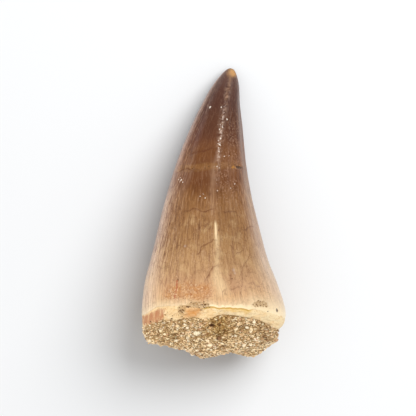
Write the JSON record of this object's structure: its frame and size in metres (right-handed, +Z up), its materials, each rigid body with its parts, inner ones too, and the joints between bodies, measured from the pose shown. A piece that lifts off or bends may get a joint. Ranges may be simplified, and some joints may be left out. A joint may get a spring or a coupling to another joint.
{
  "type": "fossil mosasaur tooth",
  "caption": "Curved conical fossil reptile tooth crown lying on its side, with sandy rock filling the hollow at its broken base.",
  "frame": {"origin": "on the surface that the tooth lies on, under the centre of its bounding box", "axes": "+Y along the tooth from the broken base to the tip, +Z up, +X to the right of the tooth seen from above with its tip ahead"},
  "size_m": [0.0229, 0.0465, 0.0188],
  "materials": {
    "tooth": "glossy fossil enamel, chocolate brown at the tip through tan to cream at the base, with fine lengthwise lines, hairline cracks and matt cream dentine at the break",
    "matrix": "matt coarse phosphate sand, beige with cream, brown and glassy grains"
  },
  "bodies": {
    "root": {"crown": "tooth", "matrix": "matrix"}
  },
  "joints": []
}
